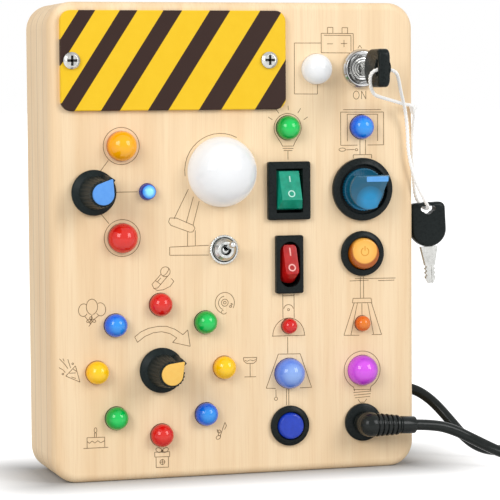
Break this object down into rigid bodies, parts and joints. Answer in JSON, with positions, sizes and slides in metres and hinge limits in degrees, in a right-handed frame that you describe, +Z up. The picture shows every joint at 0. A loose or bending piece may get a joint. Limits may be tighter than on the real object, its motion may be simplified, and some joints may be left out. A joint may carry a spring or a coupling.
{
  "type": "wooden busy board",
  "caption": "Upright wooden activity board with dials, rocker switches, push buttons, round lights, a key lock and a plug on its front.",
  "frame": {"origin": "middle of the bottom face, on the surface that the board stands on", "axes": "+Z up, front face towards -Y, +X to the right seen from the front"},
  "size_m": [0.2237, 0.0758, 0.175],
  "materials": {
    "pine_face": "fine sanded, vertical grain, clear matt",
    "pine_side": "sanded laminated edge",
    "steel_screw": "bright zinc",
    "chrome_part": "bright plated",
    "sign_yellow": "satin print, hazard stripes",
    "black_plastic": "fine satin moulded",
    "red_lens": "glossy translucent",
    "green_lens": "glossy translucent",
    "yellow_lens": "glossy translucent",
    "amber_lens": "glossy translucent",
    "blue_lens": "glossy translucent",
    "pale_blue_lens": "glossy translucent",
    "orange_lens": "glossy translucent",
    "cyan_lens": "glossy translucent",
    "white_lens": "glossy opal",
    "purple_lens": "glossy translucent",
    "blue_cap": "satin moulded",
    "tan_cap": "satin moulded",
    "green_rocker_plastic": "translucent moulded",
    "red_rocker_plastic": "translucent moulded",
    "blue_clear": "clear tinted moulded",
    "orange_clear": "clear tinted moulded",
    "blue_push": "glossy moulded",
    "cell_wrap": "printed sleeve, plain",
    "circuit_green": "solder mask",
    "nickel_wire": "nickel plated",
    "string_white": "twisted waxed cotton",
    "cable_black": "smooth soft jacket",
    "wire_red": "soft insulated wire"
  },
  "bodies": {
    "root": {"front_panel": "pine_face", "frame_layers": "pine_side", "back_panel": "pine_side", "back_panel_screws": "steel_screw", "sign_plate": "sign_yellow", "sign_plate_screws": "steel_screw", "battery_box": "black_plastic", "batteries": "cell_wrap", "battery_contacts": "nickel_wire", "circuit_board": "circuit_green", "board_screws": "steel_screw", "wiring_harness": "wire_red", "red_lights": "red_lens", "green_lights": "green_lens", "yellow_lights": "yellow_lens", "amber_light": "amber_lens", "blue_lights": "blue_lens", "pale_blue_light": "pale_blue_lens", "orange_light": "orange_lens", "dial_light": "cyan_lens", "lamp_dome": "white_lens", "white_lights": "white_lens", "purple_light": "purple_lens", "dial_switch_bodies": "nickel_wire", "toggle_body": "chrome_part", "green_rocker_housing": "black_plastic", "red_rocker_housing": "black_plastic", "selector_housing": "black_plastic", "orange_button_housing": "black_plastic", "orange_button_spring": "nickel_wire", "blue_button_housing": "black_plastic", "blue_button_spring": "nickel_wire", "panel_nuts": "chrome_part", "lock_housing": "chrome_part", "spare_key_bow": "black_plastic", "spare_key_blade": "steel_screw", "key_string": "string_white", "dc_jack": "black_plastic", "dc_cable": "cable_black", "cable_grommet": "cable_black"},
    "three_way_dial": {"three_way_knob": "black_plastic", "three_way_cap": "blue_cap", "three_way_shaft": "nickel_wire"},
    "eight_way_dial": {"eight_way_knob": "black_plastic", "eight_way_cap": "tan_cap", "eight_way_shaft": "nickel_wire"},
    "toggle": {"toggle_lever": "chrome_part"},
    "green_switch": {"green_rocker": "green_rocker_plastic"},
    "red_switch": {"red_rocker": "red_rocker_plastic"},
    "selector": {"selector_knob": "blue_clear"},
    "orange_button": {"orange_button_cap": "orange_clear"},
    "blue_button": {"blue_button_cap": "blue_push"},
    "string_bight": {"key_string_bight": "string_white"},
    "key": {"key_bow": "black_plastic", "key_blade": "steel_screw"},
    "lock_core": {"lock_rotor": "chrome_part"},
    "plug": {"dc_plug_body": "cable_black", "dc_plug_barrel": "nickel_wire"},
    "door": {"battery_door": "black_plastic", "door_screw": "steel_screw"}
  },
  "joints": [
    {"name": "three_way_turn", "type": "hinge", "parent": "root", "child": "three_way_dial", "pos_m": [-0.054, -0.02, 0.106], "axis": [0, -1, 0], "range_deg": [-115, 0]},
    {"name": "eight_way_turn", "type": "hinge", "parent": "root", "child": "eight_way_dial", "pos_m": [-0.0292, -0.02, 0.0404], "axis": [0, -1, 0], "continuous": true},
    {"name": "toggle_flip", "type": "hinge", "parent": "root", "child": "toggle", "pos_m": [-0.0049, -0.0215, 0.0841], "axis": [1, 0, 0], "range_deg": [0, 26]},
    {"name": "green_rocker_tilt", "type": "hinge", "parent": "root", "child": "green_switch", "pos_m": [0.0202, -0.0185, 0.1054], "axis": [1, 0, 0], "range_deg": [0, 44]},
    {"name": "red_rocker_tilt", "type": "hinge", "parent": "root", "child": "red_switch", "pos_m": [0.0202, -0.0185, 0.078], "axis": [1, 0, 0], "range_deg": [0, 44]},
    {"name": "selector_turn", "type": "hinge", "parent": "root", "child": "selector", "pos_m": [0.0491, -0.02, 0.1054], "axis": [0, -1, 0], "range_deg": [0, 90]},
    {"name": "orange_button_press", "type": "slide", "parent": "root", "child": "orange_button", "axis": [0, 1, 0], "range_m": [0, 0.0025], "stiffness_N_per_m": 300, "springref_m": -0.003, "deforming": ["orange_button_spring"]},
    {"name": "blue_button_press", "type": "slide", "parent": "root", "child": "blue_button", "axis": [0, 1, 0], "range_m": [0, 0.002], "stiffness_N_per_m": 300, "springref_m": -0.003, "deforming": ["blue_button_spring"]},
    {"name": "key_withdraw", "type": "slide", "parent": "root", "child": "string_bight", "axis": [0, -1, 0], "range_m": [0, 0.008], "deforming": ["key_string"]},
    {"name": "key_turn", "type": "hinge", "parent": "string_bight", "child": "key", "pos_m": [0.0491, -0.02, 0.1504], "axis": [0, -1, 0], "range_deg": [-90, 0], "deforming": ["key_string_bight"]},
    {"name": "lock_turn", "type": "hinge", "parent": "root", "child": "lock_core", "pos_m": [0.0491, -0.02, 0.1504], "axis": [0, -1, 0], "range_deg": [-90, 0]},
    {"name": "dc_plug_pull", "type": "slide", "parent": "root", "child": "plug", "axis": [0, -1, 0], "range_m": [0, 0.011], "deforming": ["dc_cable"]},
    {"name": "battery_door_lift", "type": "slide", "parent": "root", "child": "door", "axis": [0, 1, 0], "range_m": [0, 0.012]}
  ],
  "couplings": [
    {"joint": "lock_turn", "follows": "key_turn", "ratio": 1}
  ]
}
